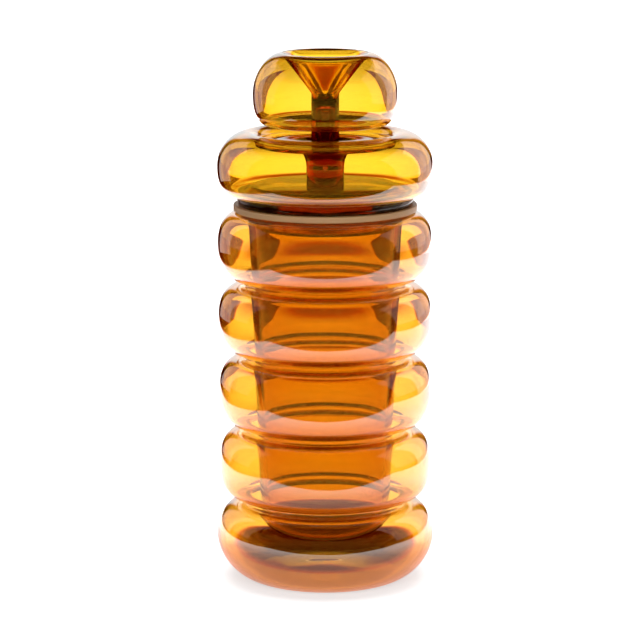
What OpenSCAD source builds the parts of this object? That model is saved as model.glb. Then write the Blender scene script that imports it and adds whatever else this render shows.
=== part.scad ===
// Double-walled apothecary jar in amber glass, with a hollow lid and a hollow round knob.
// Millimetres, +Z up. The origin is the middle of the foot, on the surface the jar stands on.
// Every piece is a body of revolution about Z: its outline is worked out here, then turned.

/* [Mouth and liner] */
// Inside radius of the jar's mouth, which the lid's seal goes into
mouth_bore_r = 45; // [35:0.5:60]
// Glass thickness of the inner vessel
liner_wall = 4.4; // [2:0.1:6]
// How much narrower the inner vessel is at its bottom than at its mouth, on the radius
liner_taper = 6.8; // [0:0.2:10]
// Height of the straight rim at the mouth, fused to the ringed wall
liner_rim_h = 6; // [4:0.5:10]
// Height of the underside of the inner vessel above the surface
liner_base_z = 27.5; // [14:0.5:40]
// Outer radius of its rounded bottom edge
liner_corner_r = 23; // [8:0.5:26]

/* [Jar rings] */
// Number of hollow rings blown one above the other
ring_count = 5; // [3:1:7]
// How far a ring swells out beyond the level part of its roof
ring_bulge = 16.6; // [10:0.2:24]
// Height from the middle of one ring to the middle of the next
ring_pitch = 48; // [40:0.5:60]
// Height of a ring's roof above its middle
ring_rise = 22; // [16:0.5:27]
// Squareness of a ring's section: 2 is an ellipse, more is boxier
ring_squareness = 2.27; // [2:0.01:2.8]
// Width of the narrow fold left between two rings
fold_gap = 3.2; // [2:0.1:5]
// Glass thickness of the ringed wall
shell_wall = 2.6; // [1.6:0.1:3.4]
// Gap between the inner vessel and the nearest fold of the ringed wall
liner_gap = 1.2; // [0.5:0.1:4]

/* [Foot] */
// How much further the bottom ring spreads than the others
foot_spread = 1; // [0:0.1:4]
// Height of the bottom ring's middle above the surface
foot_drop = 29; // [22:0.5:38]
// Width of the rounding from the bottom ring's widest place in to the level foot
foot_rounding = 26; // [16:0.5:32]
// Squareness of that rounding
foot_squareness = 1.8; // [1.6:0.05:2.4]
// Width of the level band that the jar stands on
foot_band = 13; // [8:0.5:18]
// Height of the hollow pushed up inside that band
punt_depth = 3; // [1:0.5:6]

/* [Seal] */
// How far the silicone seal's flange reaches past the level rim of the mouth
seal_overhang = 6.1; // [1:0.1:10]
// Thickness of the flange
seal_flange_h = 4.1; // [2.5:0.1:6]
// Gap that the seal keeps from the glass of the jar
seat_gap = 0.3; // [0.2:0.05:0.5]
// Space for the seal between the mouth and the plug
seal_space = 5; // [3:0.1:7]
// Length of the sleeve below the flange
seal_sleeve_h = 11; // [8:0.5:14]
// Wall of the sleeve
seal_sleeve_wall = 1.6; // [1:0.1:2.2]
// Height of one of its two sealing lips
seal_lip_h = 2.4; // [1.6:0.1:3]

/* [Lid plug] */
// How far the collar stands back from the edge of the seal
collar_setback = 2.7; // [1:0.1:8]
// Height of the collar between the seal and the lid's underside
collar_h = 5.8; // [3:0.1:9]
// Depth of the plug below the collar
plug_depth = 15; // [12:0.5:20]
// Radius of the plug's rounded bottom edge
plug_corner_r = 11.5; // [4:0.5:14]
// Glass thickness of the plug
plug_wall = 2.6; // [1.6:0.1:3.4]

/* [Lid] */
// How far the level underside of the lid reaches past the collar
lid_floor_reach = 1.7; // [0.5:0.1:5]
// How far the dish in that underside stands in from the outside of the collar
lid_dish_setback = 3.8; // [3:0.1:8]
// Width of the bank round the dish
lid_dish_bank = 7; // [4:0.5:12]
// Height of the dish above the level underside
lid_dish_h = 3.7; // [1:0.1:6]
// How far the lid swells out beyond its level underside
lid_bulge = 11.6; // [6:0.2:20]
// Depth of the lid's underside below its widest place
lid_drop = 18.4; // [14:0.2:24]
// Height of the lid's crown above its widest place
lid_rise = 22.6; // [16:0.2:28]
// How far the crown stands back from the widest place
lid_crown_setback = 20; // [12:0.2:26]
// Squareness of the section above the widest place
lid_top_squareness = 2; // [1.8:0.05:2.6]
// Squareness of the section below the widest place
lid_bottom_squareness = 2.45; // [2:0.05:2.8]
// Glass thickness of the lid
lid_wall = 2.6; // [1.6:0.1:3.4]
// Width of the bank from the crown down to the floor of the dimple
dimple_bank = 7.6; // [6:0.2:14]
// Depth of the dimple below the crown
dimple_depth = 6.6; // [4:0.2:10]
// Radius of the corner between the bank and that floor
dimple_corner_r = 1; // [0.5:0.1:2]

/* [Lid column] */
// Radius of the solid column on the lid's floor
column_r = 12.1; // [9:0.1:16]
// How much it spreads on the radius under the dimple
column_spread = 4.1; // [0:0.1:8]
// Height over which it spreads
column_spread_h = 14; // [8:0.5:18]

/* [Knob] */
// Widest radius of the knob
knob_r = 46.7; // [38:0.5:60]
// Height of the knob's crown above its widest place
knob_rise = 26.5; // [22:0.5:34]
// Depth of the knob's underside below its widest place
knob_drop = 20; // [15:0.5:26]
// Width of the rounding from the widest place in to the level underside
knob_rounding = 10.7; // [8:0.1:20]
// Squareness of the section above the widest place
knob_top_squareness = 1.9; // [1.8:0.05:2.6]
// Squareness of the section below the widest place
knob_bottom_squareness = 2.5; // [2:0.05:3]
// Glass thickness of the knob
knob_wall = 2.4; // [1.6:0.1:3.2]
// Clear height between the lid's crown and the knob's underside
knob_gap = 4.4; // [2:0.2:12]

/* [Funnel and stem] */
// Radius of the knob's open crown
funnel_r = 27.5; // [20:0.5:32]
// Depth of the funnel below the crown
funnel_depth = 28; // [20:0.5:32]
// Thickness of the funnel's wall at the stem, measured level
funnel_wall = 5; // [3:0.1:6]
// Radius of the rounding from the funnel over into the crown
funnel_rim_r = 8; // [5:0.1:10]
// Radius of the stem
stem_r = 9; // [7:0.1:11]
// Radius of the stem's bore
stem_bore_r = 4.2; // [3:0.1:5.5]
// Length of solid glass between the bore and the funnel
stem_solid_h = 8.5; // [6:0.5:14]

/* [Hidden] */

// Chords in each quarter of a section, and in each small rounding
quarter_steps = 9;
round_steps = 6;
$fn = 180;

amber = [0.93, 0.62, 0.10];
deep_amber = [0.72, 0.36, 0.05];
khaki = [0.72, 0.64, 0.46];

// Heights, from the surface up
ring_drop = ring_pitch - fold_gap - ring_rise;
mouth_z = foot_drop + (ring_count - 1) * ring_pitch + ring_rise;
seal_z = mouth_z + seat_gap;
collar_z = seal_z + seal_flange_h;
lid_floor_z = collar_z + collar_h;
lid_middle_z = lid_floor_z + lid_drop;
lid_crown_z = lid_middle_z + lid_rise;
dimple_z = lid_crown_z - dimple_depth;
knob_floor_z = lid_crown_z + knob_gap;
knob_middle_z = knob_floor_z + knob_drop;
knob_crown_z = knob_middle_z + knob_rise;
funnel_tip_z = knob_crown_z - funnel_depth;
stem_top_z = funnel_tip_z - 1;

// The inner vessel's outside, straight from the top of its rounded bottom to its rim
liner_mouth_r = mouth_bore_r + liner_wall;
liner_foot_r = liner_mouth_r - liner_taper;
liner_side_z = liner_base_z + liner_corner_r;
liner_rim_z = mouth_z - liner_rim_h;
top_fold_z = mouth_z - ring_rise - ring_drop - fold_gap / 2;
liner_at_fold_r = liner_foot_r
    + liner_taper * (top_fold_z - liner_side_z) / (liner_rim_z - liner_side_z);

// Radii, from the mouth outwards
ring_lip_r = liner_at_fold_r + liner_gap + shell_wall + fold_gap / 2;
ring_r = ring_lip_r + ring_bulge;
foot_ring_r = ring_r + foot_spread;
foot_r = foot_ring_r - foot_rounding;
punt_r = foot_r - foot_band;
plug_r = mouth_bore_r - seal_space;
seal_lip_r = mouth_bore_r - seat_gap;
seal_flange_r = ring_lip_r + seal_overhang;
collar_r = seal_flange_r - collar_setback;
lid_floor_r = collar_r + lid_floor_reach;
lid_dish_r = collar_r - lid_dish_setback;
lid_r = lid_floor_r + lid_bulge;
lid_crown_r = lid_r - lid_crown_setback;
dimple_r = lid_crown_r - dimple_bank;

// A list from its other end, and a list without its first point
function backwards(points) = [for (i = [len(points) - 1 : -1 : 0]) points[i]];
function after_first(points) = [for (i = [1 : len(points) - 1]) points[i]];

// Points on an arc between two angles
function arc(centre, radius, from, to) =
    [for (i = [0 : round_steps])
        let (t = from + (to - from) * i / round_steps)
        centre + radius * [cos(t), sin(t)]];

// A quarter of a rounded box, from its level place out to its widest place.
// The height is negative where the level place is a floor.
function level_to_widest(level_r, widest_r, middle_z, height, squareness) =
    [for (i = [0 : quarter_steps])
        let (t = 90 * i / quarter_steps)
        [level_r + (widest_r - level_r) * pow(sin(t), 2 / squareness),
         middle_z + height * pow(cos(t), 2 / squareness)]];
function widest_to_level(level_r, widest_r, middle_z, height, squareness) =
    after_first(backwards(level_to_widest(level_r, widest_r, middle_z, height, squareness)));

// A soft bank, from the level top of a hollow in a floor out and down to that floor
function soft_bank(inner_r, outer_r, floor_z, height) =
    [for (i = [0 : round_steps])
        let (t = i / round_steps)
        [inner_r + (outer_r - inner_r) * t, floor_z + height * (1 + cos(180 * t)) / 2]];

// The inside of a blown wall: its outline moved to the left by the glass thickness. The first
// point moves straight up and the last straight down, so each end stays on its own radius.
function unit(v) = v / norm(v);
function moved_point(points, i, wall) =
    let (along = unit(points[i + 1] - points[i - 1])) points[i] + wall * [-along[1], along[0]];
function inside_of(points, wall) =
    let (last = len(points) - 1)
    concat([points[0] + [0, wall]], [for (i = [1 : last - 1]) moved_point(points, i, wall)],
           [points[last] - [0, wall]]);

module turned(outline) rotate_extrude() polygon(outline);
module blown(outside, wall) turned(concat(outside, backwards(inside_of(outside, wall))));

// The ringed wall, from the middle of the foot up to the mouth
function foot_outline() =
    concat(soft_bank(0, punt_r, 0, punt_depth),
           level_to_widest(foot_r, foot_ring_r, foot_drop, -foot_drop, foot_squareness),
           widest_to_level(ring_lip_r, foot_ring_r, foot_drop, ring_rise, ring_squareness));
function fold_outline(bottom_z) =
    let (turn = arc([ring_lip_r, bottom_z + fold_gap / 2], fold_gap / 2, 270, 90))
    [for (i = [1 : len(turn) - 2]) turn[i]];
function ring_outline(middle_z) =
    concat(fold_outline(middle_z - ring_drop - fold_gap),
           level_to_widest(ring_lip_r, ring_r, middle_z, -ring_drop, ring_squareness),
           widest_to_level(ring_lip_r, ring_r, middle_z, ring_rise, ring_squareness));

module jar_outer_shell() {
    rings = [for (k = [1 : ring_count - 1]) each ring_outline(foot_drop + k * ring_pitch)];
    color(amber) blown(concat(foot_outline(), rings, [[liner_mouth_r, mouth_z]]), shell_wall);
}

// One side of the inner vessel, moved in from its outside by a glass thickness
function liner_side(in) =
    concat([[0, liner_base_z + in]],
           arc([liner_foot_r - liner_corner_r, liner_side_z], liner_corner_r - in, -90, 0),
           [[liner_mouth_r - in, liner_rim_z], [liner_mouth_r - in, mouth_z]]);

module jar_liner()
    color(deep_amber) turned(concat(liner_side(0), backwards(liner_side(liner_wall))));

// A flange that lies on the mouth, and a sleeve with two lips that grip it
module seal_ring() {
    sleeve_r = plug_r + seal_sleeve_wall;
    lip_root_r = plug_r + seal_sleeve_wall / 2;
    color(khaki) rotate_extrude() {
        translate([plug_r, seal_z]) square([seal_flange_r - plug_r, seal_flange_h]);
        translate([plug_r, seal_z - seal_sleeve_h]) square([seal_sleeve_wall, seal_sleeve_h]);
        for (lip = [1, 2])
            translate([0, seal_z - lip * seal_sleeve_h / 2 + seal_lip_h])
                polygon([[lip_root_r, -seal_lip_h / 2], [sleeve_r, -seal_lip_h / 2],
                         [seal_lip_r, 0], [sleeve_r, seal_lip_h / 2],
                         [lip_root_r, seal_lip_h / 2]]);
    }
}

// The hollow lid, from the middle of its floor out, up and over into the dimple
function dimple_outline() =
    concat([for (i = [1 : quarter_steps])
               let (t = 90 * i / quarter_steps, z = dimple_z + dimple_corner_r)
               [lid_crown_r - dimple_bank * sin(t), z + (lid_crown_z - z) * cos(t)]],
           after_first(arc([dimple_r - dimple_corner_r, dimple_z + dimple_corner_r],
                           dimple_corner_r, 0, -90)));

module lid_shell()
    color(amber) blown(concat(
        [[0, lid_floor_z + lid_dish_h]],
        soft_bank(lid_dish_r - lid_dish_bank, lid_dish_r, lid_floor_z, lid_dish_h),
        level_to_widest(lid_floor_r, lid_r, lid_middle_z, -lid_drop, lid_bottom_squareness),
        widest_to_level(lid_crown_r, lid_r, lid_middle_z, lid_rise, lid_top_squareness),
        dimple_outline(), [[stem_bore_r, dimple_z]]), lid_wall);

// A stepped cup: its collar carries the lid, and its cup goes into the mouth
module lid_plug() {
    plug_z = collar_z - plug_depth;
    corner = [plug_r - plug_corner_r, plug_z + plug_corner_r];
    outside = concat([[0, plug_z]], arc(corner, plug_corner_r, -90, 0),
                     [[plug_r, collar_z], [collar_r, collar_z], [collar_r, lid_floor_z]]);
    inside = concat([[0, plug_z + plug_wall]], arc(corner, plug_corner_r - plug_wall, -90, 0),
                    [[plug_r - plug_wall, collar_z + plug_wall],
                     [collar_r - plug_wall, collar_z + plug_wall],
                     [collar_r - plug_wall, lid_floor_z]]);
    color(deep_amber) turned(concat(outside, backwards(inside)));
}

// Solid column between the lid's floor and the underside of the dimple
module lid_column() {
    foot_z = lid_floor_z + lid_dish_h + lid_wall;
    head_z = dimple_z - lid_wall;
    spread = [for (i = [0 : round_steps])
                 let (t = i / round_steps)
                 [column_r + column_spread * t * t, head_z - column_spread_h * (1 - t)]];
    color(deep_amber) turned(concat([[0, foot_z], [column_r, foot_z]], spread, [[0, head_z]]));
}

// The hollow knob, from the stem out, up and in to its open crown
module knob_shell()
    color(amber) blown(concat(
        [[stem_r, knob_floor_z]],
        level_to_widest(knob_r - knob_rounding, knob_r, knob_middle_z, -knob_drop,
                        knob_bottom_squareness),
        widest_to_level(funnel_r, knob_r, knob_middle_z, knob_rise, knob_top_squareness)),
        knob_wall);

// How steeply a line must rise from a point to graze a circle on its upper left
function grazing(from, centre, radius) =
    let (way = centre - from) atan2(way[1], way[0]) + asin(radius / norm(way));

// The funnel hangs from the crown. Its bore is a straight cone below a rounded rim, down to a
// rounded tip, and its wall thickens on its way to the solid top of the stem.
module knob_funnel() {
    tip_r = stem_r - funnel_wall;
    shoulder_z = funnel_tip_z + tip_r / 2;
    centre = [funnel_r, knob_crown_z - funnel_rim_r];
    inner_r = funnel_rim_r - (knob_wall + funnel_wall) / 2;
    bore_rise = grazing([tip_r, shoulder_z], centre, funnel_rim_r);
    wall_rise = grazing([stem_r, shoulder_z], centre, inner_r);
    tip = [for (i = [0 : round_steps])
              let (t = 90 * i / round_steps)
              [tip_r * sin(t), funnel_tip_z + tip_r / 2 * (1 - cos(t))]];
    under_rim = [for (i = [0 : round_steps])
                    let (t = i / round_steps, a = 90 + wall_rise * t,
                         r = (funnel_rim_r - knob_wall) * (1 - t) + inner_r * t)
                    centre + r * [cos(a), sin(a)]];
    color(deep_amber) turned(concat(
        tip, backwards(arc(centre, funnel_rim_r, 90, 90 + bore_rise)), under_rim,
        [[stem_r, shoulder_z], [stem_r, stem_top_z], [0, stem_top_z]]));
}

// A thick tube, closed at its top, between the funnel and the floor of the dimple
module knob_stem()
    color(deep_amber) turned(
        [[stem_bore_r, dimple_z], [stem_r, dimple_z], [stem_r, stem_top_z], [0, stem_top_z],
         [0, stem_top_z - stem_solid_h], [stem_bore_r, stem_top_z - stem_solid_h]]);

jar_outer_shell();
jar_liner();
seal_ring();
lid_shell();
lid_plug();
lid_column();
knob_shell();
knob_funnel();
knob_stem();
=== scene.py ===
"""Apothecary jar in amber glass: five hollow rings blown round a straight inner vessel, closed by a
hollow lid with a silicone seal and a hollow round knob."""

import math

import bpy
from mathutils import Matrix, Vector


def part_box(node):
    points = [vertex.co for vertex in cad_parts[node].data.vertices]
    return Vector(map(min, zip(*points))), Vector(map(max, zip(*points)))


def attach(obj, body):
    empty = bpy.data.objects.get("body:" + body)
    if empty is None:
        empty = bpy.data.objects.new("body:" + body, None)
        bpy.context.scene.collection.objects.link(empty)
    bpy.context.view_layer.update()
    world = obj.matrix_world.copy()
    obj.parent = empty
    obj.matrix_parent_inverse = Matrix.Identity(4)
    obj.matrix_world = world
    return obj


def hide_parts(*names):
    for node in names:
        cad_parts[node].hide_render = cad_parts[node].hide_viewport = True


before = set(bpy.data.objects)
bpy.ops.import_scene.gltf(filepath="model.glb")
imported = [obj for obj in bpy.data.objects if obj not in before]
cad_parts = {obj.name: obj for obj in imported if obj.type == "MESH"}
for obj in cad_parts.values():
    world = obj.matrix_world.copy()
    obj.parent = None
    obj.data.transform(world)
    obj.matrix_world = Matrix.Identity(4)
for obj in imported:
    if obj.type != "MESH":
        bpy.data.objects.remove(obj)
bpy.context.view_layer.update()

# ---- Ringed outer wall ------------------------------------------------------------------------
# The jar's outside is one blown bubble of amber glass, pinched in on a mould into hollow rings.
# Its level roof is fused to the rim of the inner vessel, and it stands on a level band of its foot.
SHELL_WALL = 0.0026
FOLD_GAP = 0.0032
RING_COUNT = 5
RING_PITCH = 0.048
RING_RISE = 0.022
RING_DROP = RING_PITCH - FOLD_GAP - RING_RISE
RING_LIP_R = 0.0534
RING_R = 0.0700
RING_SQUARENESS = 2.27
FOOT_RING_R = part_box("jar_outer_shell")[1].x
FOOT_DROP = 0.029
FOOT_INSET = 0.026
FOOT_R = FOOT_RING_R - FOOT_INSET
FOOT_SQUARENESS = 1.8
FOOT_BAND = 0.013
PUNT_R = FOOT_R - FOOT_BAND
PUNT_DEPTH = 0.003
MOUTH_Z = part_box("jar_outer_shell")[1].z
LINER_MOUTH_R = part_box("jar_liner")[1].x
FUSED = 0.00005
SAME_POINT = 1e-6
QUARTER_TURN = math.pi / 2
QUARTER_STEPS = 16
BLEND_STEPS = 10
TURN_STEPS = 144


def evenly(steps):
    """Fractions from 0 to 1 in equal steps."""
    return [i / steps for i in range(steps + 1)]


def level_to_widest(level_r, widest_r, middle_z, height, squareness):
    """A quarter of a rounded box, from its level place out to its widest place."""
    return [
        (
            level_r + (widest_r - level_r) * max(math.sin(turn), 0) ** (2 / squareness),
            middle_z + height * max(math.cos(turn), 0) ** (2 / squareness),
        )
        for turn in (QUARTER_TURN * t for t in evenly(QUARTER_STEPS))
    ]


def widest_to_level(*sizes):
    """The same quarter, walked from its widest place back to its level place."""
    return level_to_widest(*sizes)[::-1]


def arc(centre, radius, start, end, steps=8):
    """Points on an arc between two angles in degrees."""
    angles = [math.radians(start + (end - start) * t) for t in evenly(steps)]
    return [(centre[0] + radius * math.cos(a), centre[1] + radius * math.sin(a)) for a in angles]


def joined(*stretches):
    """One outline from several stretches, with a point that two of them share kept once."""
    outline = []
    for point in (p for stretch in stretches for p in stretch):
        if not outline or math.dist(point, outline[-1]) > SAME_POINT:
            outline.append(point)
    return outline


def turned(name, outline):
    """Draws an outline in the XZ plane and spins it round Z."""
    bpy.ops.object.select_all(action="DESELECT")
    bpy.ops.mesh.primitive_plane_add(size=0.001, location=(outline[0][0], 0, outline[0][1]))
    piece = bpy.context.object
    piece.name = name
    bpy.ops.object.transform_apply(location=True, rotation=False, scale=False)
    bpy.ops.object.mode_set(mode="EDIT")
    bpy.ops.mesh.select_mode(type="VERT")
    bpy.ops.mesh.select_all(action="SELECT")
    bpy.ops.mesh.merge(type="CENTER")
    for (r0, z0), (r1, z1) in zip(outline, outline[1:]):
        bpy.ops.mesh.extrude_vertices_move(TRANSFORM_OT_translate={"value": (r1 - r0, 0, z1 - z0)})
    bpy.ops.mesh.select_all(action="SELECT")
    bpy.ops.mesh.spin(steps=TURN_STEPS, angle=2 * math.pi, center=(0, 0, 0), axis=(0, 0, 1))
    bpy.ops.mesh.select_all(action="SELECT")
    bpy.ops.mesh.remove_doubles(threshold=SAME_POINT)
    bpy.ops.mesh.normals_make_consistent(inside=False)
    bpy.ops.object.mode_set(mode="OBJECT")
    bpy.ops.object.shade_smooth()
    return piece


def walled(piece, thickness):
    """Gives a blown skin its wall, inwards from its outside, which alone is fire-polished."""
    inside = piece.vertex_groups.new(name="inside")
    wall = piece.modifiers.new("wall", "SOLIDIFY")
    wall.thickness = thickness
    wall.offset = -1
    wall.use_even_offset = True
    wall.shell_vertex_group = inside.name
    bpy.ops.object.modifier_apply(modifier=wall.name)
    bpy.ops.geometry.attribute_add(name="polish", domain="POINT", data_type="FLOAT")
    bpy.ops.object.mode_set(mode="EDIT")
    bpy.ops.mesh.select_mode(type="VERT")
    bpy.ops.mesh.select_all(action="SELECT")
    bpy.ops.mesh.attribute_set(value_float=1.0)
    bpy.ops.mesh.select_all(action="DESELECT")
    bpy.ops.object.vertex_group_set_active(group="inside")
    bpy.ops.object.vertex_group_select()
    bpy.ops.mesh.attribute_set(value_float=0.0)
    bpy.ops.object.mode_set(mode="OBJECT")
    piece.vertex_groups.clear()


punt = [
    (PUNT_R * t, PUNT_DEPTH * (1 + math.cos(math.pi * t)) / 2)
    for t in evenly(BLEND_STEPS)
]
shell_outline = joined(
    punt,
    level_to_widest(FOOT_R, FOOT_RING_R, FOOT_DROP, -FOOT_DROP, FOOT_SQUARENESS),
    widest_to_level(RING_LIP_R, FOOT_RING_R, FOOT_DROP, RING_RISE, RING_SQUARENESS),
)
for ring in range(1, RING_COUNT):
    middle_z = FOOT_DROP + ring * RING_PITCH
    fold_z = middle_z - RING_DROP - FOLD_GAP / 2
    shell_outline = joined(
        shell_outline,
        arc((RING_LIP_R, fold_z), FOLD_GAP / 2, 270, 90),
        level_to_widest(RING_LIP_R, RING_R, middle_z, -RING_DROP, RING_SQUARENESS),
        widest_to_level(RING_LIP_R, RING_R, middle_z, RING_RISE, RING_SQUARENESS),
    )
shell_outline = joined(shell_outline, [(LINER_MOUTH_R + FUSED, MOUTH_Z)])
ringed_wall = turned("ringed_wall", shell_outline)
walled(ringed_wall, SHELL_WALL)

GLASS_IOR = 1.5
POLISH_IOR = 1.8
RIPPLE = 0.0006
RIPPLE_SCALE = 22
PER_MILLIMETRE = 1000


def amber_glass(name, tint, polished=False):
    """Clear amber glass. The tint is what a millimetre of it lets through, in red, green and blue."""
    glass = bpy.data.materials.new(name)
    glass.use_nodes = True
    tree = glass.node_tree
    skin = tree.nodes["Principled BSDF"]
    skin.inputs["Base Color"].default_value = (1, 1, 1, 1)
    skin.inputs["Transmission Weight"].default_value = 1
    skin.inputs["Roughness"].default_value = 0.0
    skin.inputs["IOR"].default_value = GLASS_IOR
    if polished:
        polish = tree.nodes.new("ShaderNodeAttribute")
        polish.attribute_name = "polish"
        tree.links.new(polish.outputs["Fac"], skin.inputs["Coat Weight"])
        skin.inputs["Coat IOR"].default_value = POLISH_IOR
        skin.inputs["Coat Roughness"].default_value = 0.0
    ripple = tree.nodes.new("ShaderNodeTexNoise")
    ripple.inputs["Scale"].default_value = RIPPLE_SCALE
    ripple.inputs["Detail"].default_value = 1
    place = tree.nodes.new("ShaderNodeTexCoord")
    tree.links.new(place.outputs["Object"], ripple.inputs["Vector"])
    swell = tree.nodes.new("ShaderNodeBump")
    swell.inputs["Strength"].default_value = 1
    swell.inputs["Distance"].default_value = RIPPLE
    tree.links.new(ripple.outputs["Fac"], swell.inputs["Height"])
    tree.links.new(swell.outputs["Normal"], skin.inputs["Normal"])
    tree.links.new(swell.outputs["Normal"], skin.inputs["Coat Normal"])
    absorbing = tree.nodes.new("ShaderNodeVolumeAbsorption")
    absorbing.inputs["Color"].default_value = (*(1 + math.log(part) for part in tint), 1)
    absorbing.inputs["Density"].default_value = PER_MILLIMETRE
    tree.links.new(absorbing.outputs["Volume"], tree.nodes["Material Output"].inputs["Volume"])
    return glass


blown_amber = amber_glass("blown_amber", (0.973, 0.865, 0.54), polished=True)
ringed_wall.data.materials.append(blown_amber)
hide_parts("jar_outer_shell")
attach(ringed_wall, "jar")

# ---- Inner vessel -----------------------------------------------------------------------------
# A straight, slightly tapered vessel with a rounded bottom, which holds the food. It hangs inside
# the rings from its rim, and its thick wall makes the dark strips down both sides.
LINER_WALL = 0.0044
LINER_TAPER = 0.0068
LINER_FOOT_R = LINER_MOUTH_R - LINER_TAPER
LINER_RIM_H = 0.006
LINER_RIM_Z = MOUTH_Z - LINER_RIM_H
LINER_BASE_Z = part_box("jar_liner")[0].z
LINER_CORNER_R = 0.023
LINER_CORNER_STEPS = 14


def liner_side(inwards):
    """One side of the vessel, moved in from its outside."""
    corner = (LINER_FOOT_R - LINER_CORNER_R, LINER_BASE_Z + LINER_CORNER_R)
    return [
        (0, LINER_BASE_Z + inwards),
        *arc(corner, LINER_CORNER_R - inwards, -90, 0, LINER_CORNER_STEPS),
        (LINER_MOUTH_R - inwards, LINER_RIM_Z),
        (LINER_MOUTH_R - inwards, MOUTH_Z),
    ]


inner_vessel = turned("inner_vessel", liner_side(0) + liner_side(LINER_WALL)[::-1])
thick_amber = amber_glass("thick_amber", (0.95, 0.87, 0.5))
inner_vessel.data.materials.append(thick_amber)
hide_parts("jar_liner")
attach(inner_vessel, "jar")

# ---- Silicone seal ----------------------------------------------------------------------------
# A moulded ring of translucent khaki silicone. Its flange lies on the rim of the jar, and its
# sleeve and two lips grip the inside of the mouth.
seal_low, seal_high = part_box("seal_ring")
SEAL_FLANGE_R = seal_high.x
SEAL_TOP_Z = seal_high.z
SEAL_FLANGE_H = 0.0041
SEAL_FLANGE_Z = SEAL_TOP_Z - SEAL_FLANGE_H
SEAL_BORE_R = 0.0400
SEAL_SLEEVE_WALL = 0.0016
SEAL_SLEEVE_R = SEAL_BORE_R + SEAL_SLEEVE_WALL
SEAL_LIP_R = 0.0447
SEAL_LIP_H = 0.0024
SEAL_LIP_PITCH = 0.0055
SEAL_EDGE = 0.0006
SEAL_EDGE_STEPS = 4

seal_outline = [(SEAL_BORE_R, SEAL_TOP_Z), (SEAL_BORE_R, seal_low.z), (SEAL_SLEEVE_R, seal_low.z)]
for lip in (2, 1):
    lip_z = SEAL_FLANGE_Z - lip * SEAL_LIP_PITCH + SEAL_LIP_H
    seal_outline += [
        (SEAL_SLEEVE_R, lip_z - SEAL_LIP_H / 2),
        (SEAL_LIP_R, lip_z),
        (SEAL_SLEEVE_R, lip_z + SEAL_LIP_H / 2),
    ]
edge_r = SEAL_FLANGE_R - SEAL_EDGE
seal_outline += [
    (SEAL_SLEEVE_R, SEAL_FLANGE_Z),
    *arc((edge_r, SEAL_FLANGE_Z + SEAL_EDGE), SEAL_EDGE, -90, 0, SEAL_EDGE_STEPS),
    *arc((edge_r, SEAL_TOP_Z - SEAL_EDGE), SEAL_EDGE, 0, 90, SEAL_EDGE_STEPS),
    (SEAL_BORE_R, SEAL_TOP_Z),
]
seal = turned("seal", seal_outline)

SILICONE_IOR = 1.41
THIN_SILICONE = (1.0, 0.96, 0.85, 1)
THIN_CLEARNESS = 1.0
THIN_ROUGHNESS = 0.05
THICK_SILICONE = (0.80, 0.52, 0.26, 1)
THICK_CLEARNESS = 0.35
THICK_ROUGHNESS = 0.4
GRAIN_SCALE = 900
GRAIN = 0.00002


def faded(tree, value, low, high, start=0.0, end=1.0):
    """A soft step from one level to another."""
    node = tree.nodes.new("ShaderNodeMapRange")
    node.interpolation_type = "SMOOTHSTEP"
    for name, number in (("From Min", low), ("From Max", high), ("To Min", start), ("To Max", end)):
        node.inputs[name].default_value = number
    tree.links.new(value, node.inputs["Value"])
    return node.outputs["Result"]


silicone = bpy.data.materials.new("khaki_silicone")
silicone.use_nodes = True
tree = silicone.node_tree
skin = tree.nodes["Principled BSDF"]
skin.inputs["IOR"].default_value = SILICONE_IOR
place = tree.nodes.new("ShaderNodeTexCoord")
along = tree.nodes.new("ShaderNodeSeparateXYZ")
tree.links.new(place.outputs["Object"], along.inputs[0])
thickening = (tree, along.outputs["Z"], SEAL_FLANGE_Z - SEAL_EDGE, SEAL_FLANGE_Z)
shade = tree.nodes.new("ShaderNodeValToRGB")
shade.color_ramp.elements[0].color = THIN_SILICONE
shade.color_ramp.elements[1].color = THICK_SILICONE
tree.links.new(faded(*thickening), shade.inputs["Fac"])
tree.links.new(shade.outputs["Color"], skin.inputs["Base Color"])
clearness = faded(*thickening, THIN_CLEARNESS, THICK_CLEARNESS)
tree.links.new(clearness, skin.inputs["Transmission Weight"])
roughness = faded(*thickening, THIN_ROUGHNESS, THICK_ROUGHNESS)
tree.links.new(roughness, skin.inputs["Roughness"])
grain = tree.nodes.new("ShaderNodeTexNoise")
grain.inputs["Scale"].default_value = GRAIN_SCALE
tree.links.new(place.outputs["Object"], grain.inputs["Vector"])
pores = tree.nodes.new("ShaderNodeBump")
pores.inputs["Strength"].default_value = 1
pores.inputs["Distance"].default_value = GRAIN
tree.links.new(grain.outputs["Fac"], pores.inputs["Height"])
tree.links.new(pores.outputs["Normal"], skin.inputs["Normal"])
seal.data.materials.append(silicone)
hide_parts("seal_ring")
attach(seal, "lid")

# ---- Lid --------------------------------------------------------------------------------------
# A hollow lid of amber glass: one fat blown ring, with a dish in its level underside and a
# pan-shaped dimple in its top. The plug and the column are fused to it, and it lifts off by hand.
LID_WALL = 0.0026
LID_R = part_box("lid_shell")[1].x
LID_FLOOR_Z, LID_CROWN_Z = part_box("lid_shell")[0].z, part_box("lid_shell")[1].z
LID_FLOOR_INSET = 0.0116
LID_FLOOR_R = LID_R - LID_FLOOR_INSET
LID_DROP = 0.0184
LID_MIDDLE_Z = LID_FLOOR_Z + LID_DROP
LID_CROWN_INSET = 0.020
LID_CROWN_R = LID_R - LID_CROWN_INSET
LID_RISE = LID_CROWN_Z - LID_MIDDLE_Z
LID_UNDER_SQUARENESS = 2.45
LID_CROWN_SQUARENESS = 2.0
DIMPLE_BANK = 0.0076
DIMPLE_DEPTH = 0.0066
DIMPLE_CORNER_R = 0.001
DIMPLE_Z = LID_CROWN_Z - DIMPLE_DEPTH
LID_DISH_R = 0.0530
LID_DISH_BANK = 0.007
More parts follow.
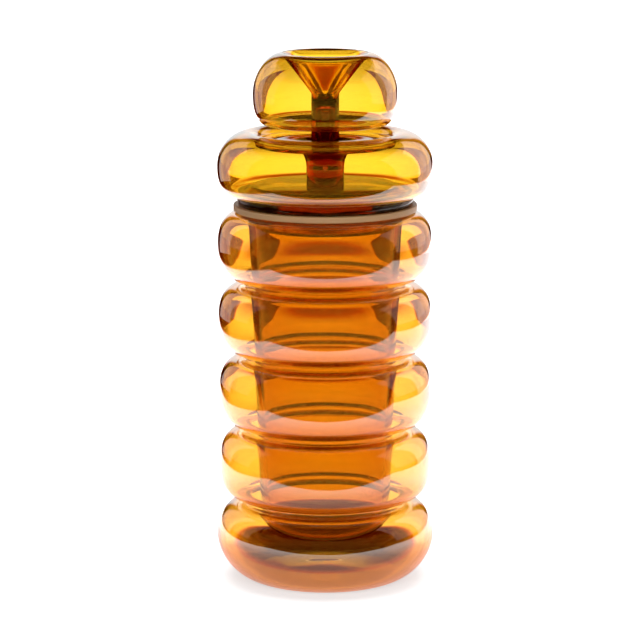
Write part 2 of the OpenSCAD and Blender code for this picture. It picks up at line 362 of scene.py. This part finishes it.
LID_DISH_H = 0.0037
STEM_BORE_R = 0.0042
LID_CURVE_STEPS = 12
LID_CORNER_STEPS = 6

dish = [
    (
        LID_DISH_R - LID_DISH_BANK * (1 - t),
        LID_FLOOR_Z + LID_DISH_H * (1 + math.cos(math.pi * t)) / 2,
    )
    for t in evenly(BLEND_STEPS)
]
corner_z = DIMPLE_Z + DIMPLE_CORNER_R
bank = [
    (
        LID_CROWN_R - DIMPLE_BANK * math.sin(turn),
        corner_z + (LID_CROWN_Z - corner_z) * math.cos(turn),
    )
    for turn in (QUARTER_TURN * t for t in evenly(LID_CURVE_STEPS))
]
corner_centre = (LID_CROWN_R - DIMPLE_BANK - DIMPLE_CORNER_R, corner_z)
corner = arc(corner_centre, DIMPLE_CORNER_R, 0, -90, LID_CORNER_STEPS)
lid = turned(
    "lid",
    joined(
        [(0, LID_FLOOR_Z + LID_DISH_H)],
        dish,
        level_to_widest(LID_FLOOR_R, LID_R, LID_MIDDLE_Z, -LID_DROP, LID_UNDER_SQUARENESS),
        widest_to_level(LID_CROWN_R, LID_R, LID_MIDDLE_Z, LID_RISE, LID_CROWN_SQUARENESS),
        bank,
        corner,
        [(STEM_BORE_R, DIMPLE_Z)],
    ),
)
walled(lid, LID_WALL)
pale_amber = amber_glass("pale_amber", (0.975, 0.885, 0.50), polished=True)
lid.data.materials.append(pale_amber)
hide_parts("lid_shell")
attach(lid, "lid")

# ---- Plug under the lid -----------------------------------------------------------------------
# A stepped glass cup fused under the lid. Its collar carries the lid above the seal, and its cup
# fills the mouth inside the seal's sleeve.
PLUG_WALL = 0.0026
PLUG_R = SEAL_BORE_R - FUSED
PLUG_CORNER_R = 0.0115
PLUG_CORNER_STEPS = 12
COLLAR_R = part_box("lid_plug")[1].x
COLLAR_Z = SEAL_TOP_Z
PLUG_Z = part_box("lid_plug")[0].z


def plug_side(inwards):
    """One side of the cup, moved in from its outside."""
    corner = (PLUG_R - PLUG_CORNER_R, PLUG_Z + PLUG_CORNER_R)
    return [
        (0, PLUG_Z + inwards),
        *arc(corner, PLUG_CORNER_R - inwards, -90, 0, PLUG_CORNER_STEPS),
        (PLUG_R - inwards, COLLAR_Z + inwards + FUSED),
        (COLLAR_R - inwards, COLLAR_Z + inwards + FUSED),
        (COLLAR_R - inwards, LID_FLOOR_Z + FUSED),
    ]


plug = turned("plug", plug_side(0) + plug_side(PLUG_WALL)[::-1])
plug.data.materials.append(thick_amber)
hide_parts("lid_plug")
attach(plug, "lid")

# ---- Column inside the lid --------------------------------------------------------------------
# A solid column of glass between the lid's floor and the dimple, cut from a rod.
# It is fused at both ends, and spreads where it meets the dimple.
COLUMN_R = 0.0121
COLUMN_SPREAD = 0.0041
COLUMN_SPREAD_H = 0.014
COLUMN_SPREAD_STEPS = 12
column_foot_z = LID_FLOOR_Z + LID_DISH_H + LID_WALL - FUSED
column_head_z = DIMPLE_Z - LID_WALL + FUSED

column = turned(
    "column",
    [(0, column_foot_z), (COLUMN_R, column_foot_z)]
    + [
        (COLUMN_R + COLUMN_SPREAD * t * t, column_head_z - COLUMN_SPREAD_H * (1 - t))
        for t in evenly(COLUMN_SPREAD_STEPS)
    ]
    + [(0, column_head_z)],
)
deep_amber = amber_glass("deep_amber", (0.95, 0.81, 0.4))
column.data.materials.append(deep_amber)
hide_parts("lid_column")
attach(column, "lid")

# ---- Knob -------------------------------------------------------------------------------------
# A smaller blown ring of amber glass with an open crown, level underneath.
# Its floor is fused round the stem, and its crown to the funnel.
KNOB_WALL = 0.0024
KNOB_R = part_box("knob_shell")[1].x
KNOB_FLOOR_Z, KNOB_CROWN_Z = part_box("knob_shell")[0].z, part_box("knob_shell")[1].z
KNOB_DROP = 0.020
KNOB_MIDDLE_Z = KNOB_FLOOR_Z + KNOB_DROP
KNOB_FLOOR_INSET = 0.0107
KNOB_FLOOR_R = KNOB_R - KNOB_FLOOR_INSET
KNOB_RISE = KNOB_CROWN_Z - KNOB_MIDDLE_Z
KNOB_UNDER_SQUARENESS = 2.5
KNOB_CROWN_SQUARENESS = 1.9
FUNNEL_R = 0.0275
STEM_R = 0.009

knob = turned(
    "knob",
    joined(
        [(STEM_R - FUSED, KNOB_FLOOR_Z)],
        level_to_widest(KNOB_FLOOR_R, KNOB_R, KNOB_MIDDLE_Z, -KNOB_DROP, KNOB_UNDER_SQUARENESS),
        widest_to_level(FUNNEL_R, KNOB_R, KNOB_MIDDLE_Z, KNOB_RISE, KNOB_CROWN_SQUARENESS),
    ),
)
walled(knob, KNOB_WALL)
knob.data.materials.append(pale_amber)
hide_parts("knob_shell")
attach(knob, "lid")

# ---- Funnel in the knob -----------------------------------------------------------------------
# The knob's crown turns inwards over a soft rim and runs down as a thick cone of clearer glass.
# The cone is closed at its tip, and fused there to the top of the stem.
FUNNEL_DEPTH = 0.028
FUNNEL_WALL = 0.005
FUNNEL_RIM_R = 0.008
FUNNEL_FLOOR = 0.001
FUNNEL_TIP_R = STEM_R - FUNNEL_WALL
UNDER_RIM_R = FUNNEL_RIM_R - (KNOB_WALL + FUNNEL_WALL) / 2
FUNNEL_TIP_STEPS = 8
FUNNEL_RIM_STEPS = 14
funnel_tip_z = KNOB_CROWN_Z - FUNNEL_DEPTH
shoulder_z = funnel_tip_z + FUNNEL_TIP_R / 2
stem_top_z = funnel_tip_z - FUNNEL_FLOOR
rim_centre = (FUNNEL_R, KNOB_CROWN_Z - FUNNEL_RIM_R)


def grazing(start_r, radius):
    """How steeply a line rises from the funnel's shoulder to graze a circle round the rim."""
    across, up = rim_centre[0] - start_r, rim_centre[1] - shoulder_z
    return math.degrees(math.atan2(up, across) + math.asin(radius / math.hypot(across, up)))


tip = [
    (FUNNEL_TIP_R * math.sin(turn), funnel_tip_z + FUNNEL_TIP_R / 2 * (1 - math.cos(turn)))
    for turn in (QUARTER_TURN * t for t in evenly(FUNNEL_TIP_STEPS))
]
rim_turn = grazing(FUNNEL_TIP_R, FUNNEL_RIM_R)
rim = arc(rim_centre, FUNNEL_RIM_R, 90, 90 + rim_turn, FUNNEL_RIM_STEPS)
under_rim_turn = math.radians(grazing(STEM_R, UNDER_RIM_R))
under_rim = []
for t in evenly(FUNNEL_RIM_STEPS):
    radius = (FUNNEL_RIM_R - KNOB_WALL) * (1 - t) + UNDER_RIM_R * t
    under_rim.append((
        rim_centre[0] - radius * math.sin(under_rim_turn * t),
        rim_centre[1] + radius * math.cos(under_rim_turn * t),
    ))
funnel = turned(
    "funnel",
    joined(
        tip,
        rim[::-1],
        [(FUNNEL_R + FUSED, KNOB_CROWN_Z), (FUNNEL_R + FUSED, KNOB_CROWN_Z - KNOB_WALL)],
        under_rim,
        [(STEM_R, shoulder_z), (STEM_R, stem_top_z), (0, stem_top_z)],
    ),
)
clear_amber = amber_glass("clear_amber", (0.985, 0.93, 0.6))
funnel.data.materials.append(clear_amber)
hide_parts("knob_funnel")
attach(funnel, "lid")

# ---- Stem -------------------------------------------------------------------------------------
# A thick drawn tube of glass, closed at its top.
# It is fused to the floor of the dimple, and carries the knob and its funnel.
STEM_SOLID_H = 0.0085
stem_low_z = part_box("knob_stem")[0].z - FUSED
stem = turned(
    "stem",
    [
        (STEM_BORE_R, stem_low_z),
        (STEM_R, stem_low_z),
        (STEM_R, stem_top_z + FUSED),
        (0, stem_top_z + FUSED),
        (0, stem_top_z - STEM_SOLID_H),
        (STEM_BORE_R, stem_top_z - STEM_SOLID_H),
        (STEM_BORE_R, stem_low_z),
    ],
)
stem.data.materials.append(deep_amber)
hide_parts("knob_stem")
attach(stem, "lid")

# ---- Table ------------------------------------------------------------------------------------
# A wide white table top, plain white to the camera. Glass shows it white behind the jar and off to
# the sides, with painted brown shade of an unlit studio between them and the jar's painted shadow
# round and behind its foot. It mirrors the table white from just in front of the jar backwards,
# with painted shade near the jar.
TABLE_Z = -0.0002
TABLE_SIZE = 12
TABLE_ALBEDO = 0.8
TABLE_ROUGHNESS = 0.9
CAMERA_NEAR_R = (0.4, 2.5)
CAMERA_NEAR_LEVEL = 0.62
# Painted shade, and where glass shows it: the white strip behind the jar, the white sides,
# the jar's painted shadow as a dark oval under it, its painted half-shade round the foot, and
# a painted shadow patch in the strip.
SHADE_COLOUR = (0.035, 0.003, 0.0)
HALF_SHADE_COLOUR = (0.50, 0.13, 0.02)
SHADE_LEVEL = 0.03
STRIP_NEAR_X = 0.32
STRIP_X = 0.15
STRIP_FAR_X = 0.30
STRIP_NARROWS_Y = (0.6, 0.9)
STRIP_WIDENS_Y = (1.4, 1.8)
STRIP_EDGE = 0.02
SIDE_ANGLES = (math.radians(48), math.radians(56))
PAINTED_JAR_SHADOW = ((0, 0.085), (0.066, 0.09))
PAINTED_JAR_SHADOW_EDGE = (0.9, 1.1)
PAINTED_HALF_SHADE_R = (0.09, 0.11)
PAINTED_HALF_SHADE_LEVEL = 0.68
PAINTED_SHADOW_PATCH = ((0, 1.2), (0.17, 0.38))
PAINTED_SHADOW_PATCH_EDGE = (0.2, 1.2)
PAINTED_SHADOW_PATCH_LEVEL = 0.25
# Where glass mirrors the table white: behind this line, between these two, and dimmer near
# the jar, where the jar's shadow is painted. Elsewhere it mirrors painted brown shade.
MIRROR_FRONT_Y = (-0.27, -0.25)
MIRROR_LEFT_X = (-0.50, -0.40)
MIRROR_RIGHT_X = (0.9, 1.1)
MIRROR_PAINTED_SHADE_R = (0.06, 0.30)
MIRROR_PAINTED_SHADE_LEVEL = 0.65


def calculated(tree, operation, *values):
    """One Math node. Each value is a number or another node's output."""
    node = tree.nodes.new("ShaderNodeMath")
    node.operation = operation
    for socket, value in zip(node.inputs, values):
        if isinstance(value, (int, float)):
            socket.default_value = value
        else:
            tree.links.new(value, socket)
    return node.outputs[0]


def product(tree, *values):
    """All the values multiplied together."""
    total = values[0]
    for value in values[1:]:
        total = calculated(tree, "MULTIPLY", total, value)
    return total


def chosen(tree, test, yes, no):
    """One value where the test is 1, and the other where it is 0."""
    otherwise = product(tree, calculated(tree, "SUBTRACT", 1.0, test), no)
    return calculated(tree, "MULTIPLY_ADD", test, yes, otherwise)


def oval(tree, place, middle, size):
    """Distance from the middle of an oval on the table, 1 on its edge."""
    squares = []
    for axis in (0, 1):
        offset = calculated(tree, "SUBTRACT", place.outputs[axis], middle[axis])
        part = calculated(tree, "DIVIDE", offset, size[axis])
        squares.append(product(tree, part, part))
    return calculated(tree, "SQRT", calculated(tree, "ADD", *squares))


def shade_scale(tree, level):
    """Colours from the dark brown of painted shade, through the amber of painted half-shade, to
    white.
    """
    scale = tree.nodes.new("ShaderNodeValToRGB")
    scale.color_ramp.elements[0].color = (*SHADE_COLOUR, 1)
    scale.color_ramp.elements[1].color = (1, 1, 1, 1)
    scale.color_ramp.elements.new(0.5).color = (*HALF_SHADE_COLOUR, 1)
    tree.links.new(level, scale.inputs["Fac"])
    return scale.outputs["Color"]


bpy.ops.object.select_all(action="DESELECT")
bpy.ops.mesh.primitive_plane_add(size=TABLE_SIZE, location=(0, 0, TABLE_Z))
table = bpy.context.object
table.name = "table"
bpy.ops.object.transform_apply()
paint = bpy.data.materials.new("white_table")
paint.use_nodes = True
tree = paint.node_tree
top = tree.nodes["Principled BSDF"]
top.inputs["Roughness"].default_value = TABLE_ROUGHNESS
top.inputs["Specular IOR Level"].default_value = 0
place = tree.nodes.new("ShaderNodeSeparateXYZ")
tree.links.new(tree.nodes.new("ShaderNodeTexCoord").outputs["Object"], place.inputs[0])
x, y = place.outputs["X"], place.outputs["Y"]
aside = calculated(tree, "ABSOLUTE", x)
away = oval(tree, place, (0, 0), (1, 1))

half_width = calculated(
    tree,
    "ADD",
    faded(tree, y, *STRIP_NARROWS_Y, STRIP_NEAR_X, STRIP_X),
    faded(tree, y, *STRIP_WIDENS_Y, 0.0, STRIP_FAR_X - STRIP_X),
)
beyond_strip = calculated(tree, "SUBTRACT", aside, half_width)
strip = faded(tree, beyond_strip, 0.0, STRIP_EDGE, 1.0, SHADE_LEVEL)
side = faded(tree, calculated(tree, "ARCTAN2", aside, y), *SIDE_ANGLES, SHADE_LEVEL, 1.0)
# Glass sees the jar's painted shadow, its painted half-shade and the painted shadow patch here.
through_level = product(
    tree,
    calculated(tree, "MAXIMUM", strip, side),
    faded(tree, oval(tree, place, *PAINTED_JAR_SHADOW), *PAINTED_JAR_SHADOW_EDGE),
    faded(tree, away, *PAINTED_HALF_SHADE_R, PAINTED_HALF_SHADE_LEVEL, 1.0),
    faded(tree, oval(tree, place, *PAINTED_SHADOW_PATCH), *PAINTED_SHADOW_PATCH_EDGE, PAINTED_SHADOW_PATCH_LEVEL, 1.0),
)
# Mirrored table: the jar's painted shadow dims it near the jar, painted brown shade elsewhere.
mirror_lit = product(
    tree,
    faded(tree, y, *MIRROR_FRONT_Y),
    faded(tree, x, *MIRROR_LEFT_X),
    faded(tree, x, *MIRROR_RIGHT_X, 1.0, 0.0),
    faded(tree, away, *MIRROR_PAINTED_SHADE_R, MIRROR_PAINTED_SHADE_LEVEL, 1.0),
)
seen = tree.nodes.new("ShaderNodeLightPath").outputs
mirror_level = chosen(tree, seen["Is Glossy Ray"], mirror_lit, 1.0)
colour = shade_scale(tree, chosen(tree, seen["Is Transmission Ray"], through_level, mirror_level))
albedo = tree.nodes.new("ShaderNodeVectorMath")
albedo.operation = "SCALE"
albedo.inputs["Scale"].default_value = TABLE_ALBEDO
tree.links.new(colour, albedo.inputs[0])
tree.links.new(albedo.outputs[0], top.inputs["Base Color"])
tree.links.new(colour, top.inputs["Emission Color"])
near = faded(tree, away, *CAMERA_NEAR_R, CAMERA_NEAR_LEVEL, 1.0)
shown = calculated(tree, "MULTIPLY_ADD", seen["Is Camera Ray"], near, seen["Is Glossy Ray"])
tree.links.new(shown, top.inputs["Emission Strength"])
table.data.materials.append(paint)

# ---- Studio -----------------------------------------------------------------------------------
# White all round to the camera. Glass shows it white along the horizon and further up at the sides,
# and mirrors it white straight behind; elsewhere glass sees painted brown shade. Pink-tinged
# softboxes stand on both sides of the jar, and plain ones light the table and the front.
PINK = (1.0, 0.80, 0.74)
WHITE = (1.0, 1.0, 1.0)
HORIZON_TOP = (12, 16)
BESIDE_TOP = (25, 35)
BEHIND_TOP = (20, 30)
BEHIND_ANGLES = (math.radians(12), math.radians(22))
JAR_MIDDLE = (0, 0, 0.17)
TABLE_BEHIND = (0, 2.3, 0)


def heights(elevations):
    """How high directions stand, as the Z of their unit vectors."""
    return [math.sin(math.radians(elevation)) for elevation in elevations]


world = bpy.data.worlds.new("studio")
bpy.context.scene.world = world
world.use_nodes = True
tree = world.node_tree
way = tree.nodes.new("ShaderNodeSeparateXYZ")
tree.links.new(tree.nodes.new("ShaderNodeTexCoord").outputs["Generated"], way.inputs[0])
up = way.outputs["Z"]
aside = calculated(tree, "ABSOLUTE", way.outputs["X"])
horizon = faded(tree, up, *heights(HORIZON_TOP), 1.0, 0.0)
bearing = calculated(tree, "ARCTAN2", aside, way.outputs["Y"])
side = faded(tree, bearing, *SIDE_ANGLES, SHADE_LEVEL, 1.0)
beside = product(tree, side, faded(tree, up, *heights(BESIDE_TOP), 1.0, 0.0))
through_level = calculated(tree, "MAXIMUM", horizon, beside)
seen = tree.nodes.new("ShaderNodeLightPath").outputs
mirror_level = product(
    tree,
    seen["Is Glossy Ray"],
    faded(tree, bearing, *BEHIND_ANGLES, 1.0, 0.0),
    faded(tree, up, *heights(BEHIND_TOP), 1.0, 0.0),
)
# Where glass sees neither white, the sky is painted brown shade.
glass_level = chosen(tree, seen["Is Transmission Ray"], through_level, mirror_level)
level = calculated(tree, "MAXIMUM", seen["Is Camera Ray"], glass_level)
tree.links.new(shade_scale(tree, level), tree.nodes["Background"].inputs["Color"])


def softbox(
    name, azimuth, elevation, distance, size, radiance, aim=JAR_MIDDLE, colour=WHITE, in_glass=False
):
    """A rectangular lamp aimed at a point. Azimuth 0 is where the camera stands."""
    round_z, up_z = math.radians(azimuth), math.radians(elevation)
    data = bpy.data.lights.new(name, "AREA")
    data.shape = "RECTANGLE"
    data.size, data.size_y = size
    data.energy = radiance * math.pi * size[0] * size[1]
    data.color = colour
    lamp = bpy.data.objects.new(name, data)
    bpy.context.collection.objects.link(lamp)
    lamp.location = (
        aim[0] + distance * math.sin(round_z) * math.cos(up_z),
        aim[1] - distance * math.cos(round_z) * math.cos(up_z),
        aim[2] + distance * math.sin(up_z),
    )
    lamp.rotation_euler = (math.pi / 2 - up_z, 0, round_z)
    lamp.visible_camera = False
    lamp.visible_glossy = in_glass
    lamp.visible_transmission = in_glass


softbox(
    "left_softbox", azimuth=-107, elevation=22, distance=1.1,
    size=(0.85, 1.0), radiance=0.25, colour=PINK, in_glass=True,
)
softbox(
    "left_edge_softbox", azimuth=-134, elevation=12, distance=1.09,
    size=(0.63, 1.2), radiance=0.6, colour=PINK, in_glass=True,
)
softbox(
    "right_softbox", azimuth=105, elevation=22, distance=1.1,
    size=(1.15, 1.0), radiance=0.4, colour=PINK, in_glass=True,
)
softbox(
    "right_edge_softbox", azimuth=132, elevation=12, distance=1.09,
    size=(0.75, 1.2), radiance=0.9, colour=PINK, in_glass=True,
)
softbox("top_softbox", azimuth=0, elevation=90, distance=1.6, size=(1.6, 1.6), radiance=3.2)
softbox("front_softbox", azimuth=0, elevation=20, distance=2.0, size=(1.2, 1.2), radiance=4.0)
softbox(
    "back_softbox", azimuth=180, elevation=90, distance=1.3,
    size=(2.0, 2.0), radiance=2.6, aim=TABLE_BEHIND,
)

# ---- Camera -----------------------------------------------------------------------------------
# A long lens two metres in front of the jar, above its lid and tilted down at it. Light passes
# through dozens of glass walls on its way there, so a ray may bend and bounce that many times.
LENS_MM = 177.6
SENSOR_MM = 36
CAMERA_PLACE = (-0.0021, -2.0327, 0.5539)
CAMERA_TILT = 0.187
THROUGH_BOUNCES = 40
MIRROR_BOUNCES = 12

camera_data = bpy.data.cameras.new("camera")
camera_data.lens = LENS_MM
camera_data.sensor_width = SENSOR_MM
camera = bpy.data.objects.new("camera", camera_data)
bpy.context.collection.objects.link(camera)
camera.location = CAMERA_PLACE
camera.rotation_euler = (math.pi / 2 - CAMERA_TILT, 0, 0)
bpy.context.scene.camera = camera
bpy.context.scene.view_settings.view_transform = "Standard"
bpy.context.scene.cycles.max_bounces = THROUGH_BOUNCES
bpy.context.scene.cycles.transmission_bounces = THROUGH_BOUNCES
bpy.context.scene.cycles.glossy_bounces = MIRROR_BOUNCES
